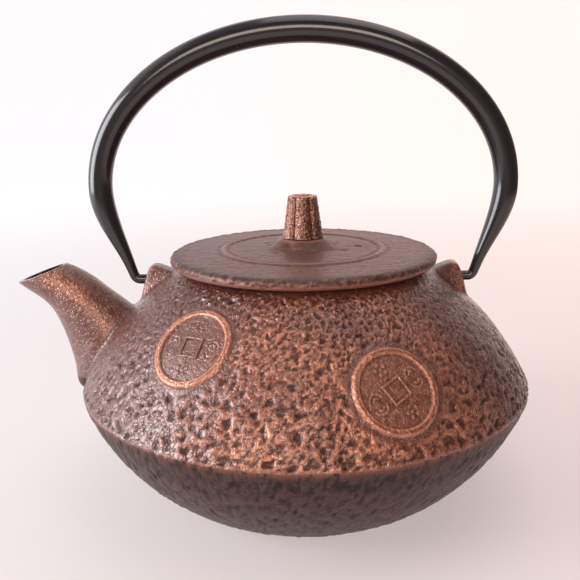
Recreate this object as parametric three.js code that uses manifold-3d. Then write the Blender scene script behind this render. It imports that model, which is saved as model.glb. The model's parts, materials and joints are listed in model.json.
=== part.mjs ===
// Cast iron teapot: a low round body with a curved spout, a lift-off lid, a tea infuser and a swinging bail.
// Millimetres, +Z up. The origin is the centre of the flat base, the spout points along -X
// and the bail turns about the X direction.
import * as THREE from 'three';
import { mergeVertices } from 'three/addons/utils/BufferGeometryUtils.js';
import Module from 'manifold-3d';

const wasm = await Module();
wasm.setup();

// Fits
const GAP = 0.3;
const ROUND_STEPS = 60;

// Body casting
const BASE_RADIUS = 51.4;
const RIDGE_RADIUS = 85;
const RIDGE_Z = 41.8;
const LOWER_BULGE = 4.7;
const SHOULDER_BULGE = 4.35;
const WALL = 4;
const FLOOR = 5;
const LIP_RADIUS = 45;
const LIP_Z = 86;
const MOUTH_RADIUS = 38;
const LEDGE_RADIUS = 41.2;
const LEDGE_Z = LIP_Z - 1.7;
const LIP_DEPTH = 5.5;

// Spout: its upper and lower edge in the XZ plane, root first, its half width, and its narrow underside band
const SPOUT_UPPER = [[-60, 63.6], [-67, 69.3], [-73.3, 74.2], [-79.4, 79.2], [-85.3, 83.3], [-91, 86]];
const SPOUT_LOWER = [[-74, 32], [-88.4, 36], [-90.4, 47], [-93.6, 60], [-99, 70.6], [-110.4, 79.2]];
const SPOUT_ROOT_HALF_WIDTH = 14;
const SPOUT_MOUTH_HALF_WIDTH = 7.5;
const SPOUT_BAND = 0.26;
const SPOUT_WALL = 2.8;
const SPOUT_RINGS = 12;
const SPOUT_SIDES = 20;

// Lugs and the bail's pivot
const PIVOT_Z = 79.4;
const LUG_FOOT = [[48, 68], [61, 71.3]];
const LUG_SIDE_END = [58.6, 82.6];
const LUG_CORNER = [58.1, 85.2];
const LUG_TOP = [[56, 84.6], [47, 81]];
const LUG_FOOT_HALF_WIDTH = 7.6;
const LUG_TOP_HALF_WIDTH = 3.4;
const LUG_BEVEL = 1;
const PIN_END_X = 54;

// Bail
const PIN_RADIUS = 1.85;
const GRIP_RADIUS = 4.45;
const TOP_RADIUS = 4.8;
const BEND_START_X = 62.7;
const BEND_CORNER_X = 64.4;
const BEND_END = [65.1, 81.4];
const LEG_START = [66.3, 84.8];
const LEG_PULL = [69.3, 94];
const LEG_END_PULL_Z = 104;
const ARCH_HALF_WIDTH = 75.4;
const ARCH_Z = 114;
const ARCH_RISE = 55.6;
const TAPER_LOW_Z = 80;
const TAPER_HIGH_Z = 112;
const BAIL_SIDES = 10;
const BAIL_STEPS = 11;

// Coin reliefs on the shoulder: direction round the body (0 faces -Y), height, and turn of the square
const COINS = [
  { azimuth: -33.5, z: 70, turn: 3 },
  { azimuth: 22, z: 60.4, turn: 25 },
  { azimuth: 146.5, z: 70, turn: 3 },
  { azimuth: 202, z: 60.4, turn: 25 },
];
const COIN_RADIUS = 14.2;
const COIN_RING_WIDTH = 2.6;
const COIN_SQUARE = 7.4;
const COIN_SQUARE_RIM = 1.4;
const COIN_HEIGHT = 0.7;
const COIN_ROOT = 1.5;

// Lid
const LID_RADIUS = 50;
const LID_UNDER_Z = LIP_Z + GAP;
const LID_EDGE_Z = 90.1;
const LID_RING_RADIUS = 30.2;
const LID_RING_HEIGHT = 0.7;
const LID_PAD_Z = 95;
const LID_PAD_RADIUS = 8.4;
const LID_PAD_FOOT_RADIUS = 12.5;
const SPIGOT_RADIUS = 30.2;
const SPIGOT_WALL = 2.6;
const SPIGOT_BOTTOM_Z = 80.5;
const VENT_RADIUS = 1.5;
const VENT_X = 21;

// Knob and its screw
const KNOB_FOOT_RADIUS = 8;
const KNOB_HEIGHT = 15.6;
const KNOB_PIP_RADIUS = 2.2;
const KNOB_PIP_HEIGHT = 0.6;
const KNOB_LOBES = 6;
const KNOB_LOBE_DEPTH = 0.1;
const SCREW_RADIUS = 2;
const SCREW_HEAD_RADIUS = 3.6;
const SCREW_HEAD_HEIGHT = 2.4;
const SCREW_TOP_Z = 103;
const WASHER_RADIUS = 5.5;
const WASHER_THICKNESS = 1;
const LID_CENTRE_UNDER_Z = 88.6;

// Infuser
const SLEEVE_RADIUS = 31;
const SLEEVE_THICKNESS = 0.5;
const RIM_RADIUS = 40.8;
const SHEET = 0.8;
const COLLAR_DEPTH = 7.5;
const INFUSER_BOTTOM_Z = 37;
const FLOOR_RING_HEIGHT = 7;
const FLOOR_RING_LIP = 4.5;

const iron = new THREE.MeshStandardMaterial({ color: 0x6b4a42, roughness: 0.62, metalness: 0.45 });
const lidIron = new THREE.MeshStandardMaterial({ color: 0x73524a, roughness: 0.55, metalness: 0.45 });
const copper = new THREE.MeshStandardMaterial({ color: 0xa9664a, roughness: 0.45, metalness: 0.7 });
const blackPaint = new THREE.MeshStandardMaterial({ color: 0x17151a, roughness: 0.35, metalness: 0.2 });
const steel = new THREE.MeshStandardMaterial({ color: 0xb9bcc0, roughness: 0.3, metalness: 0.95 });
const meshSteel = new THREE.MeshStandardMaterial({ color: 0x9ea2a7, roughness: 0.4, metalness: 0.9 });
const zincSteel = new THREE.MeshStandardMaterial({ color: 0x8d8f92, roughness: 0.4, metalness: 0.9 });

// --- Solids -------------------------------------------------------------------------------------------

function toSolid(geometry) {
  const bare = geometry.clone();
  bare.deleteAttribute('normal');
  bare.deleteAttribute('uv');
  const merged = mergeVertices(bare);
  const index = merged.index.array;
  const triangles = [];
  for (let i = 0; i < index.length; i += 3) {
    const [a, b, c] = [index[i], index[i + 1], index[i + 2]];
    if (a !== b && b !== c && c !== a) triangles.push(a, b, c);
  }
  const vertProperties = new Float32Array(merged.attributes.position.array);
  const triVerts = new Uint32Array(triangles);
  return new wasm.Manifold(new wasm.Mesh({ numProp: 3, vertProperties, triVerts }));
}

function toMesh(name, solid, material) {
  const { vertProperties, triVerts } = solid.getMesh();
  const geometry = new THREE.BufferGeometry();
  geometry.setAttribute('position', new THREE.BufferAttribute(vertProperties, 3));
  geometry.setIndex(new THREE.BufferAttribute(triVerts, 1));
  geometry.computeVertexNormals();
  const mesh = new THREE.Mesh(geometry, material);
  mesh.name = name;
  return mesh;
}

// Turns an outline of [radius, height] points about Z. It runs upwards on its outer side.
function turned(outline, steps = ROUND_STEPS) {
  const points = outline.map(([radius, height]) => new THREE.Vector2(radius, height));
  return toSolid(new THREE.LatheGeometry(points, steps).rotateX(Math.PI / 2));
}

function arcRadius(chord, bulge) {
  return (chord.lengthSq() / 4 + bulge * bulge) / (2 * bulge);
}

// Points on the arc from one [radius, height] point to another, standing out to the right of its chord.
function arc(from, to, bulge, steps) {
  const start = new THREE.Vector2(...from);
  const end = new THREE.Vector2(...to);
  const chord = end.clone().sub(start);
  const radius = arcRadius(chord, bulge);
  const outward = new THREE.Vector2(chord.y, -chord.x).normalize();
  const centre = start.clone().add(end).multiplyScalar(0.5).addScaledVector(outward, bulge - radius);
  const first = Math.atan2(start.y - centre.y, start.x - centre.x);
  const last = Math.atan2(end.y - centre.y, end.x - centre.x);
  const points = [];
  for (let i = 0; i <= steps; i++) {
    const angle = THREE.MathUtils.lerp(first, last, i / steps);
    points.push([centre.x + radius * Math.cos(angle), centre.y + radius * Math.sin(angle)]);
  }
  return points;
}

// Joins rings of points into one closed skin. Each end has a flat cap, unless the last ring meets the first.
function skin(rings, closed = false) {
  const sides = rings[0].length;
  const positions = rings.flat().flatMap((p) => [p.x, p.y, p.z]);
  const index = [];
  const spans = closed ? rings.length : rings.length - 1;
  for (let i = 0; i < spans; i++) {
    const next = (i + 1) % rings.length;
    for (let j = 0; j < sides; j++) {
      const k = (j + 1) % sides;
      index.push(i * sides + j, i * sides + k, next * sides + k);
      index.push(i * sides + j, next * sides + k, next * sides + j);
    }
  }
  const last = (rings.length - 1) * sides;
  for (let j = 1; j < sides - 1 && !closed; j++) {
    index.push(0, j + 1, j);
    index.push(last, last + j, last + j + 1);
  }
  const geometry = new THREE.BufferGeometry();
  geometry.setAttribute('position', new THREE.Float32BufferAttribute(positions, 3));
  geometry.setIndex(index);
  return toSolid(geometry);
}

function rodAlongX(radius, fromX, toX, z) {
  const rod = new THREE.CylinderGeometry(radius, radius, Math.abs(toX - fromX), 20);
  return toSolid(rod.rotateZ(Math.PI / 2).translate((fromX + toX) / 2, 0, z));
}

function rodAlongZ(radius, fromZ, toZ, x = 0) {
  const rod = new THREE.CylinderGeometry(radius, radius, toZ - fromZ, 20);
  return toSolid(rod.rotateX(Math.PI / 2).translate(x, 0, (fromZ + toZ) / 2));
}

// --- Body casting -------------------------------------------------------------------------------------

const RIDGE = [RIDGE_RADIUS, RIDGE_Z];
const LIP = [LIP_RADIUS, LIP_Z - 0.5];
const SHOULDER = arc(RIDGE, LIP, SHOULDER_BULGE, 8);
const SLOPE_RADIUS = arcRadius(new THREE.Vector2(LIP[0] - RIDGE[0], LIP[1] - RIDGE[1]), SHOULDER_BULGE);

function bodyOuter() {
  const lower = arc([BASE_RADIUS, 0], RIDGE, LOWER_BULGE, 6);
  return turned([[0, 0], ...lower, ...SHOULDER.slice(1), [LIP_RADIUS - 0.6, LIP_Z], [0, LIP_Z]]);
}

function bodyCavity() {
  const ridge = [RIDGE_RADIUS - WALL, RIDGE_Z];
  const lower = arc([BASE_RADIUS - 1.4, FLOOR], ridge, LOWER_BULGE - 0.7, 5);
  const shoulder = arc(ridge, [LIP_RADIUS - 0.5, LIP_Z - LIP_DEPTH - 0.5], SHOULDER_BULGE - 0.3, 5);
  const mouth = [
    [MOUTH_RADIUS, LIP_Z - LIP_DEPTH],
    [MOUTH_RADIUS, LEDGE_Z],
    [LEDGE_RADIUS, LEDGE_Z],
    [LEDGE_RADIUS, LIP_Z + 1],
    [0, LIP_Z + 1],
  ];
  return turned([[0, FLOOR], ...lower, ...shoulder.slice(1), ...mouth]);
}

function ovalSection(turn) {
  return [Math.cos(Math.PI * turn), Math.sin(Math.PI * turn)];
}

// A point of the spout's section, as shares of its half height and half width, at a turn from 0 on top to 1
// underneath. Above it is an oval. Below, it narrows to a flat band, which fades out towards the mouth.
function spoutSection(turn, t) {
  const oval = ovalSection(turn);
  if (turn <= 0.5) return oval;
  const down = Math.min(1, (turn - 0.5) / 0.4);
  const across = Math.min(1, (1 - turn) / 0.1);
  const banded = [-(down ** 0.9), (1 - (1 - SPOUT_BAND) * down ** 1.5) * across];
  const round = t ** 3;
  return banded.map((share, i) => THREE.MathUtils.lerp(share, oval[i], round));
}

// The spout's sections fan from the body to the mouth between the upper and the lower edge.
function spoutRings(section, inset, rootShift, mouthShift) {
  const upper = new THREE.SplineCurve(SPOUT_UPPER.map((p) => new THREE.Vector2(...p)));
  const lower = new THREE.SplineCurve(SPOUT_LOWER.map((p) => new THREE.Vector2(...p)));
  const rings = [];
  for (let i = 0; i < SPOUT_RINGS; i++) {
    const t = i / (SPOUT_RINGS - 1);
    const top = upper.getPoint(t);
    const bottom = lower.getPoint(t);
    const along = top.clone().sub(bottom).normalize();
    const forward = new THREE.Vector2(-along.y, along.x);
    const shift = THREE.MathUtils.lerp(-rootShift, 0, Math.min(1, t * 8)) + (t === 1 ? mouthShift : 0);
    const middle = top.clone().add(bottom).multiplyScalar(0.5).addScaledVector(forward, shift);
    const halfHeight = top.distanceTo(bottom) / 2 - inset;
    const width = THREE.MathUtils.lerp(SPOUT_ROOT_HALF_WIDTH, SPOUT_MOUTH_HALF_WIDTH, t);
    const ring = [];
    for (let j = 0; j < SPOUT_SIDES; j++) {
      const turn = (2 * j) / SPOUT_SIDES;
      const [up, out] = section(Math.min(turn, 2 - turn), t);
      const height = halfHeight * up;
      const side = (width - inset) * out * (turn > 1 ? -1 : 1);
      ring.push(new THREE.Vector3(middle.x + along.x * height, side, middle.y + along.y * height));
    }
    rings.push(ring);
  }
  return rings;
}

// A lug stands on the shoulder and thins towards its top.
function lug(side) {
  const outline = new THREE.Shape();
  outline.moveTo(...LUG_FOOT[0]);
  outline.lineTo(...LUG_FOOT[1]);
  outline.lineTo(...LUG_SIDE_END);
  outline.quadraticCurveTo(...LUG_CORNER, ...LUG_TOP[0]);
  outline.lineTo(...LUG_TOP[1]);
  const block = new THREE.ExtrudeGeometry(outline, {
    depth: 2 * LUG_FOOT_HALF_WIDTH,
    bevelThickness: LUG_BEVEL,
    bevelSize: LUG_BEVEL,
    bevelSegments: 2,
    curveSegments: 4,
  });
  block.translate(0, 0, -LUG_FOOT_HALF_WIDTH).rotateX(Math.PI / 2);
  const [footZ, topZ] = [LUG_FOOT[0][1] - 2, LUG_CORNER[1] + 2];
  const front = new THREE.Shape();
  front.moveTo(-LUG_FOOT_HALF_WIDTH, footZ);
  front.lineTo(LUG_FOOT_HALF_WIDTH, footZ);
  front.lineTo(LUG_TOP_HALF_WIDTH, topZ);
  front.lineTo(-LUG_TOP_HALF_WIDTH, topZ);
  const wedge = new THREE.ExtrudeGeometry(front, { depth: RIDGE_RADIUS, bevelEnabled: false });
  wedge.rotateX(Math.PI / 2).rotateZ(Math.PI / 2);
  if (side < 0) {
    block.rotateZ(Math.PI);
    wedge.rotateZ(Math.PI);
  }
  return toSolid(block).intersect(toSolid(wedge));
}

// Carries a point of a flat relief onto the shoulder: u runs round the body, v up the slope and
// height outwards.
function onShoulder(coin, u, v, height) {
  const slope = SHOULDER.findIndex((point) => point[1] > coin.z);
  const [low, high] = [SHOULDER[slope - 1], SHOULDER[slope]];
  const uphill = new THREE.Vector2(high[0] - low[0], high[1] - low[1]).normalize();
  const centreRadius = THREE.MathUtils.mapLinear(coin.z, low[1], high[1], low[0], high[0]);
  const sag = (uphill.y * u * u) / (2 * centreRadius) + (v * v) / (2 * SLOPE_RADIUS);
  const out = height - sag;
  const radius = centreRadius + uphill.x * v + uphill.y * out;
  const z = coin.z + uphill.y * v - uphill.x * out;
  const azimuth = THREE.MathUtils.degToRad(coin.azimuth);
  const x = radius * Math.sin(azimuth) + u * Math.cos(azimuth);
  const y = -radius * Math.cos(azimuth) + u * Math.sin(azimuth);
  return new THREE.Vector3(x, y, z);
}

// A raised band between an inner and an outer outline. Each gives a distance in the direction of an angle.
function band(coin, inner, outer, steps) {
  const rings = [];
  for (let i = 0; i < steps; i++) {
    const angle = (-2 * Math.PI * i) / steps;
    const corners = [
      [inner(angle), -COIN_ROOT],
      [outer(angle), -COIN_ROOT],
      [outer(angle), COIN_HEIGHT],
      [inner(angle), COIN_HEIGHT],
    ];
    const place = ([reach, height]) => {
      return onShoulder(coin, reach * Math.cos(angle), reach * Math.sin(angle), height);
    };
    rings.push(corners.map(place));
  }
  return skin(rings, true);
}

function squareReach(halfSide, turn) {
  return (angle) => {
    const local = angle - THREE.MathUtils.degToRad(turn);
    return halfSide / Math.max(Math.abs(Math.cos(local)), Math.abs(Math.sin(local)));
  };
}

function coinRelief(coin) {
  const ring = band(coin, () => COIN_RADIUS - COIN_RING_WIDTH, () => COIN_RADIUS, 24);
  const halfSide = COIN_SQUARE / 2;
  const inner = squareReach(halfSide - COIN_SQUARE_RIM, coin.turn);
  const frame = band(coin, inner, squareReach(halfSide, coin.turn), 16);
  return ring.add(frame);
}

function potBody() {
  let pot = bodyOuter().add(skin(spoutRings(spoutSection, 0, 0, 0)));
  for (const side of [-1, 1]) pot = pot.add(lug(side));
  for (const coin of COINS) pot = pot.add(coinRelief(coin));
  pot = pot.subtract(bodyCavity());
  pot = pot.subtract(skin(spoutRings(ovalSection, SPOUT_WALL, 6, 2)));
  for (const side of [-1, 1]) {
    const hole = rodAlongX(PIN_RADIUS + GAP, side * (PIN_END_X - GAP), side * (PIN_END_X + 10), PIVOT_Z);
    pot = pot.subtract(hole);
  }
  return toMesh('pot_body', pot, iron);
}

// --- Bail ---------------------------------------------------------------------------------------------

function bailPath() {
  const path = new THREE.Path();
  path.moveTo(PIN_END_X, PIVOT_Z);
  path.lineTo(BEND_START_X, PIVOT_Z);
  path.quadraticCurveTo(BEND_CORNER_X, PIVOT_Z, ...BEND_END);
  path.lineTo(...LEG_START);
  path.bezierCurveTo(...LEG_PULL, ARCH_HALF_WIDTH, LEG_END_PULL_Z, ARCH_HALF_WIDTH, ARCH_Z);
  path.absellipse(0, ARCH_Z, ARCH_HALF_WIDTH, ARCH_RISE, 0, Math.PI / 2, false);
  const half = path.getPoints(BAIL_STEPS);
  const other = half.slice(0, -1).reverse();
  return [...half, ...other.map((point) => new THREE.Vector2(-point.x, point.y))];
}

function bailRadius(z) {
  const taper = THREE.MathUtils.smoothstep(z, TAPER_LOW_Z, TAPER_HIGH_Z);
  const swell = THREE.MathUtils.smoothstep(z, ARCH_Z, ARCH_Z + ARCH_RISE);
  return PIN_RADIUS + (GRIP_RADIUS - PIN_RADIUS) * taper + (TOP_RADIUS - GRIP_RADIUS) * swell;
}

function bailHandle() {
  const path = bailPath();
  const rings = path.map((point, i) => {
    const before = path[Math.max(0, i - 1)];
    const after = path[Math.min(path.length - 1, i + 1)];
    const along = after.clone().sub(before).normalize();
    const radius = bailRadius(point.y);
    const ring = [];
    for (let j = 0; j < BAIL_SIDES; j++) {
      const angle = (2 * Math.PI * j) / BAIL_SIDES;
      const across = radius * Math.cos(angle);
      const side = radius * Math.sin(angle);
      ring.push(new THREE.Vector3(point.x + along.y * across, side, point.y - along.x * across));
    }
    return ring;
  });
  return toMesh('bail_handle', skin(rings), blackPaint);
}

// --- Lid ----------------------------------------------------------------------------------------------

function lidPlate() {
  const ringTop = LID_EDGE_Z + 1 + LID_RING_HEIGHT;
  const outline = [
    [0, LID_CENTRE_UNDER_Z],
    [WASHER_RADIUS + 1.5, LID_CENTRE_UNDER_Z],
    [SPIGOT_RADIUS - SPIGOT_WALL, LID_UNDER_Z + 0.6],
    [SPIGOT_RADIUS - SPIGOT_WALL, SPIGOT_BOTTOM_Z],
    [SPIGOT_RADIUS, SPIGOT_BOTTOM_Z],
    [SPIGOT_RADIUS, LID_UNDER_Z],
    [LID_RADIUS - 1.4, LID_UNDER_Z],
    [LID_RADIUS - 0.6, LID_UNDER_Z + 0.6],
    [LID_RADIUS, LID_EDGE_Z - 1.6],
    [LID_RADIUS - 0.5, LID_EDGE_Z - 0.6],
    [LID_RADIUS - 2.2, LID_EDGE_Z],
    [LID_RING_RADIUS + 1.8, LID_EDGE_Z + 0.9],
    [LID_RING_RADIUS + 0.7, ringTop],
    [LID_RING_RADIUS - 0.7, ringTop],
    [LID_RING_RADIUS - 1.8, LID_EDGE_Z + 1.1],
    [LID_PAD_FOOT_RADIUS, LID_EDGE_Z + 1.7],
    [LID_PAD_RADIUS, LID_PAD_Z],
    [0, LID_PAD_Z],
  ];
  let plate = turned(outline);
  plate = plate.subtract(rodAlongZ(SCREW_RADIUS + GAP, LID_UNDER_Z, LID_PAD_Z + 1));
  plate = plate.subtract(rodAlongZ(VENT_RADIUS, LID_UNDER_Z - 1, LID_PAD_Z, VENT_X));
  return toMesh('lid', plate, lidIron);
}

// The knob's section is a ring of petals that narrows towards the top.
function lidKnob() {
  const sides = KNOB_LOBES * 6;
  const levels = [
    [0, 0.985],
    [0.5, 0.865],
    [0.93, 0.73],
    [1, 0.62],
  ];
  const base = LID_PAD_Z + GAP;
  const rings = levels.map(([height, width]) => {
    const ring = [];
    for (let j = 0; j < sides; j++) {
      const angle = (2 * Math.PI * j) / sides;
      const petal = Math.abs(Math.cos((KNOB_LOBES * (angle + Math.PI / 2)) / 2));
      const reach = KNOB_FOOT_RADIUS * width * (1 - KNOB_LOBE_DEPTH + KNOB_LOBE_DEPTH * petal);
      const z = base + KNOB_HEIGHT * height;
      ring.push(new THREE.Vector3(reach * Math.cos(angle), reach * Math.sin(angle), z));
    }
    return ring;
  });
  const screwHole = rodAlongZ(SCREW_RADIUS + GAP, base - 1, SCREW_TOP_Z + GAP);
  const top = base + KNOB_HEIGHT;
  const pip = rodAlongZ(KNOB_PIP_RADIUS, top - 1, top + KNOB_PIP_HEIGHT);
  return toMesh('lid_knob', skin(rings).add(pip).subtract(screwHole), copper);
}

function knobScrew() {
  const headTop = LID_CENTRE_UNDER_Z - WASHER_THICKNESS - 2 * GAP;
  const outline = [
    [0, headTop - SCREW_HEAD_HEIGHT],
    [SCREW_HEAD_RADIUS * 0.7, headTop - SCREW_HEAD_HEIGHT],
    [SCREW_HEAD_RADIUS, headTop - SCREW_HEAD_HEIGHT * 0.6],
    [SCREW_HEAD_RADIUS, headTop],
    [SCREW_RADIUS, headTop],
    [SCREW_RADIUS, SCREW_TOP_Z - 1],
    [SCREW_RADIUS - 0.6, SCREW_TOP_Z],
    [0, SCREW_TOP_Z],
  ];
  return toMesh('knob_screw', turned(outline, 20), zincSteel);
}

function knobWasher() {
  const top = LID_CENTRE_UNDER_Z - GAP;
  const inner = SCREW_RADIUS + GAP;
  const outline = [
    [inner, top - WASHER_THICKNESS],
    [WASHER_RADIUS, top - WASHER_THICKNESS],
    [WASHER_RADIUS, top],
    [inner, top],
    [inner, top - WASHER_THICKNESS],
  ];
  return toMesh('knob_washer', turned(outline, 24), zincSteel);
}

// --- Infuser ------------------------------------------------------------------------------------------

const COLLAR_INNER = SLEEVE_RADIUS + SLEEVE_THICKNESS + GAP;
const COLLAR_OUTER = COLLAR_INNER + SHEET;
const FLANGE_Z = LEDGE_Z + GAP;

function infuserRim() {
  const outline = [
    [COLLAR_INNER, FLANGE_Z - COLLAR_DEPTH],
    [COLLAR_OUTER, FLANGE_Z - COLLAR_DEPTH],
    [COLLAR_OUTER, FLANGE_Z],
    [RIM_RADIUS, FLANGE_Z],
    [RIM_RADIUS, FLANGE_Z + SHEET],
    [COLLAR_INNER, FLANGE_Z + SHEET],
    [COLLAR_INNER, FLANGE_Z - COLLAR_DEPTH],
  ];
  return toMesh('infuser_rim', turned(outline, 40), steel);
}

function infuserSleeve() {
  const outer = SLEEVE_RADIUS + SLEEVE_THICKNESS;
  const bottom = INFUSER_BOTTOM_Z + SHEET + GAP;
  const outline = [
    [SLEEVE_RADIUS, bottom],
    [outer, bottom],
    [outer, FLANGE_Z],
    [SLEEVE_RADIUS, FLANGE_Z],
    [SLEEVE_RADIUS, bottom],
  ];
  return toMesh('infuser_sleeve', turned(outline, 40), meshSteel);
}

function infuserFloorRing() {
  const outline = [
    [SLEEVE_RADIUS - FLOOR_RING_LIP, INFUSER_BOTTOM_Z],
    [COLLAR_OUTER, INFUSER_BOTTOM_Z],
    [COLLAR_OUTER, INFUSER_BOTTOM_Z + FLOOR_RING_HEIGHT],
    [COLLAR_INNER, INFUSER_BOTTOM_Z + FLOOR_RING_HEIGHT],
    [COLLAR_INNER, INFUSER_BOTTOM_Z + SHEET],
    [SLEEVE_RADIUS - FLOOR_RING_LIP, INFUSER_BOTTOM_Z + SHEET],
    [SLEEVE_RADIUS - FLOOR_RING_LIP, INFUSER_BOTTOM_Z],
  ];
  return toMesh('infuser_floor_ring', turned(outline, 40), steel);
}

function infuserFloor() {
  const bottom = INFUSER_BOTTOM_Z + SHEET + GAP;
  const radius = SLEEVE_RADIUS - GAP;
  const outline = [
    [0, bottom],
    [radius, bottom],
    [radius, bottom + SLEEVE_THICKNESS],
    [0, bottom + SLEEVE_THICKNESS],
  ];
  return toMesh('infuser_floor', turned(outline, 40), meshSteel);
}

const infuser = new THREE.Group();
infuser.add(infuserRim(), infuserSleeve(), infuserFloorRing(), infuserFloor());

const lid = new THREE.Group();
lid.add(lidPlate(), lidKnob(), knobScrew(), knobWasher());

const teapot = new THREE.Group();
teapot.add(potBody(), bailHandle(), lid, infuser);

export default teapot;
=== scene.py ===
"""Cast iron teapot: the looks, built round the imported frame.

Shapes are worked out in millimetres and made in metres, +Z up, with the spout along -X.
"""

import json
from math import atan2, cos, hypot, pi, radians, sin, sqrt

import bmesh
import bpy
import numpy as np
from mathutils import Matrix, Vector, noise


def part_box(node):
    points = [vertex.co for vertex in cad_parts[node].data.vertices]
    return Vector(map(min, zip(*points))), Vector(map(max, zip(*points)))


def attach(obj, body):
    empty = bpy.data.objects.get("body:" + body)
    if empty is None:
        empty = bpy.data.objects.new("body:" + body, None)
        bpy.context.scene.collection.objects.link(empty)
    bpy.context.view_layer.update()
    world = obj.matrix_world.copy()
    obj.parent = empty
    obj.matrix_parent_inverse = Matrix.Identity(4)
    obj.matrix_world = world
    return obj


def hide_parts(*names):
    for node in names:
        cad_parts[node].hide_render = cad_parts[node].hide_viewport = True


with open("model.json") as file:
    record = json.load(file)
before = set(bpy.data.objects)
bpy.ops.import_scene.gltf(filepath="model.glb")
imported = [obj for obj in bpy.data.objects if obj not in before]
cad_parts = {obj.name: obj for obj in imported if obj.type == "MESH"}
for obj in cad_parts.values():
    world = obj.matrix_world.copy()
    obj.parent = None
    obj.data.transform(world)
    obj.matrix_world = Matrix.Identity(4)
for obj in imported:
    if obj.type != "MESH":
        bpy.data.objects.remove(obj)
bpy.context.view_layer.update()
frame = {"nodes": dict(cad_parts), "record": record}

MM = 0.001
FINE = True
noise.seed_set(1)


def corners(node):
    """Lowest and highest corner of a CAD node, in millimetres."""
    low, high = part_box(node)
    return Vector(low) / MM, Vector(high) / MM


# --- Sizes in millimetres: the frame's boxes, then the casting's own proportions ---

POT_LOW, POT_HIGH = corners("pot_body")
LID_LOW, LID_HIGH = corners("lid")
KNOB_LOW, KNOB_HIGH = corners("lid_knob")
RIM_LOW, RIM_HIGH = corners("infuser_rim")
SLEEVE_LOW, SLEEVE_HIGH = corners("infuser_sleeve")
RING_LOW, RING_HIGH = corners("infuser_floor_ring")
FLOOR_LOW, FLOOR_HIGH = corners("infuser_floor")
BAIL_JOINT = next(j for j in frame["record"]["behaviour"]["joints"] if j["name"] == "bail_swing")
PIVOT_Z = BAIL_JOINT["pos_m"][2] / MM

GAP = 0.3
SHEET = 0.8

RIDGE_RADIUS = POT_HIGH.y
RIDGE = (RIDGE_RADIUS, 41.8)
RIDGE_BAND_RADIUS = RIDGE_RADIUS - 0.22
BASE_RADIUS = 51.4
LIP_RADIUS = 45
LIP_Z = 86
LIP_END = (LIP_RADIUS, LIP_Z - 0.5)
LOWER_BULGE = 4.7
SHOULDER_BULGE = 4.35
WALL = 4
FLOOR_THICKNESS = 5
MOUTH_RADIUS = 38
LEDGE_RADIUS = 41.2
LEDGE_Z = LIP_Z - 1.7
LIP_DEPTH = 5.5
ROUND_STEPS = 760 if FINE else 300
SHOULDER_STEPS = 96 if FINE else 44
LOWER_STEPS = 26 if FINE else 14

SPOUT_UPPER = [(-60, 63.6), (-67, 69.3), (-73.3, 74.2), (-79.4, 79.2), (-85.3, 83.3), (-91, LIP_Z)]
SPOUT_LOWER = [(-74, 32), (-88.4, 36), (-90.4, 47), (-93.6, 60), (-99, 70.6), (POT_LOW.x, 79.2)]
SPOUT_BAND = 0.26
SPOUT_ROOT_HALF_WIDTH = 14
SPOUT_MOUTH_HALF_WIDTH = 7.5
SPOUT_WALL = 2.8

LUG_FOOT_HALF_WIDTH = 7.6
LUG_TOP_HALF_WIDTH = 3.4
PIN_RADIUS = 1.85
PIN_END_X = 54

FRONT_COINS = [{"azimuth": -33.5, "z": 70, "turn": 3}, {"azimuth": 22, "z": 60.4, "turn": 25}]
COINS = FRONT_COINS + [{**coin, "azimuth": coin["azimuth"] + 180} for coin in FRONT_COINS]
COIN_RADIUS = 14.2
COIN_RING_WIDTH = 2.5
COIN_SQUARE = 3.6
COIN_RIM = 0.8

LID_EDGE_Z = 90.1
LID_RING_RADIUS = 30.2
LID_PAD_RADIUS = 8.4
VENT_RADIUS = 1.5
VENT_X = 21
KNOB_LOBES = 6
SCREW_HOLE_RADIUS = 2.3
SCREW_HOLE_TOP = 103.3

BAIL_HALF_WIDTH = 75.4
BAIL_TOP = 169.6
BAIL_ARCH_Z = 114
BAIL_RADIUS = 4.45

HOLE_PITCH = 3.0
HOLE_RADIUS = 0.85


# --- Numbers and noise ---

def smoothstep(low, high, value):
    t = np.clip((value - low) / (high - low), 0, 1)
    return t * t * (3 - 2 * t)


def full_turn(count):
    """Angles once round, in that many steps."""
    return np.linspace(0, 2 * pi, count, endpoint=False)


def circle_of(start, end, bulge):
    """Centre and radius of the arc between two points that stands out to the right of its chord by bulge."""
    start, end = Vector(start), Vector(end)
    chord = end - start
    radius = (chord.length_squared / 4 + bulge * bulge) / (2 * bulge)
    outward = Vector((chord.y, -chord.x)).normalized()
    return (start + end) / 2 + outward * (bulge - radius), radius


def arc(start, end, bulge, steps):
    """Points on that arc, both ends included."""
    centre, radius = circle_of(start, end, bulge)
    first = atan2(start[1] - centre.y, start[0] - centre.x)
    last = atan2(end[1] - centre.y, end[0] - centre.x)
    angles = np.linspace(first, last, steps + 1)
    return [(centre.x + radius * cos(a), centre.y + radius * sin(a)) for a in angles]


def curve_through(points, t):
    """A point at t from 0 to 1 on a smooth curve through evenly timed points."""
    spans = len(points) - 1
    i = min(int(t * spans), spans - 1)
    f = t * spans - i
    a, b, c, d = [Vector(points[min(max(k, 0), spans)]) for k in (i - 1, i, i + 1, i + 2)]
    curve = 2 * b + (c - a) * f + (2 * a - 5 * b + 4 * c - d) * f ** 2
    return 0.5 * (curve + (3 * b - a - 3 * c + d) * f ** 3)


def bezier(points, count):
    """Points on a Bezier curve, its last point left out."""
    curve = []
    for t in (i / count for i in range(count)):
        level = [Vector(p) for p in points]
        while len(level) > 1:
            level = [a.lerp(b, t) for a, b in zip(level, level[1:])]
        curve.append(level[0])
    return curve


def fine_noise(points, size, octaves=3):
    """Fractal noise of that feature size in millimetres, about -1 to 1."""
    return np.array([noise.fractal(Vector(p), 0.7, 2.1, octaves) for p in points / size])


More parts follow.
